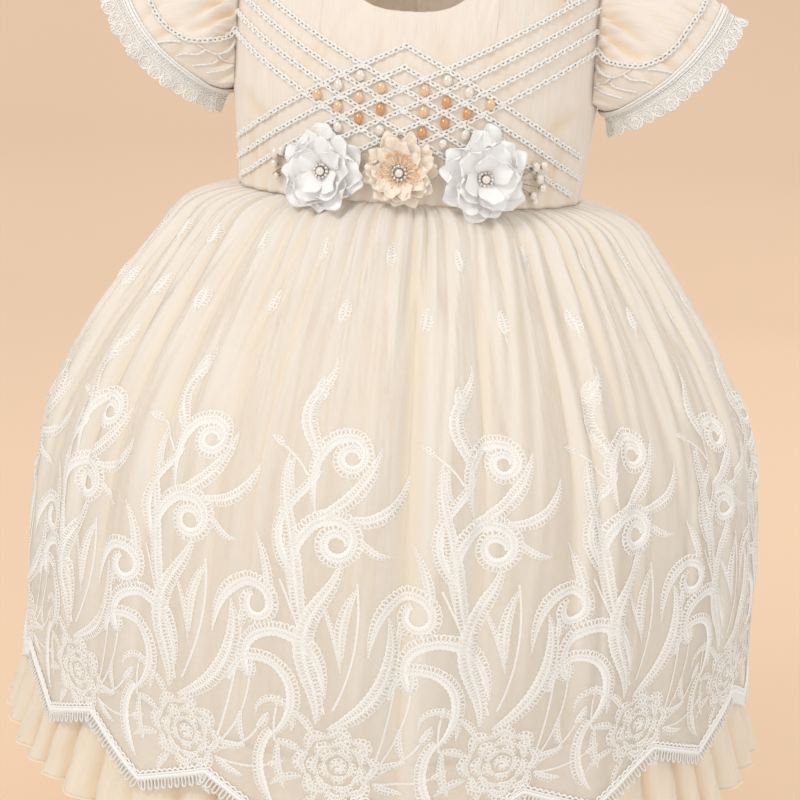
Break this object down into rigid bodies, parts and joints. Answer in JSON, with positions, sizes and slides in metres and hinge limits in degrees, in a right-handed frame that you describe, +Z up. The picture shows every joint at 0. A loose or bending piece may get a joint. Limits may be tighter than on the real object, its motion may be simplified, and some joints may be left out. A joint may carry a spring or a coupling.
{
  "type": "christening gown",
  "caption": "Baby's christening gown: cream bodice with lattice braid, flared lace-trimmed sleeves, cloth flowers at the waist, and a full embroidered net skirt over a ruffled lining.",
  "frame": {"origin": "midway between the two shoulder seams at the neck, where the wearer's shoulders carry the gown", "axes": "+Z up along the body, -Y out of the gown's front, +X towards the wearer's left sleeve"},
  "size_m": [0.4678, 0.4228, 0.4968],
  "materials": {
    "bodice_cloth": "cream linen-look cotton",
    "sleeve_cloth": "soft cream satin",
    "skirt_lining": "ivory satin",
    "hem_ruffle": "ivory satin, rolled edge",
    "embroidered_net": "sheer cream net with raised ivory embroidery",
    "white_lace": "white cotton lace and braid",
    "white_petals": "sheer white cloth petals",
    "peach_petals": "peach eyelet cloth petals",
    "flower_buttons": "antique silver with small pearls",
    "back_buttons": "pearl gloss"
  },
  "bodies": {
    "root": {"bodice_front": "bodice_cloth", "bodice_back_left": "bodice_cloth", "bodice_back_right": "bodice_cloth", "back_button_1": "back_buttons", "back_button_2": "back_buttons", "back_button_3": "back_buttons", "back_button_4": "back_buttons", "sleeve_left": "sleeve_cloth", "sleeve_right": "sleeve_cloth", "sleeve_band_left": "white_lace", "sleeve_band_right": "white_lace", "sleeve_lace_left": "white_lace", "sleeve_lace_right": "white_lace", "net_skirt": "embroidered_net", "net_edging": "white_lace", "lining_skirt": "skirt_lining", "hem_ruffle": "hem_ruffle", "flower_right_outer": "white_petals", "flower_right_inner": "white_petals", "flower_right_button": "flower_buttons", "flower_middle_outer": "peach_petals", "flower_middle_inner": "peach_petals", "flower_middle_button": "flower_buttons", "flower_left_outer": "white_petals", "flower_left_inner": "white_petals", "flower_left_button": "flower_buttons"}
  },
  "joints": []
}
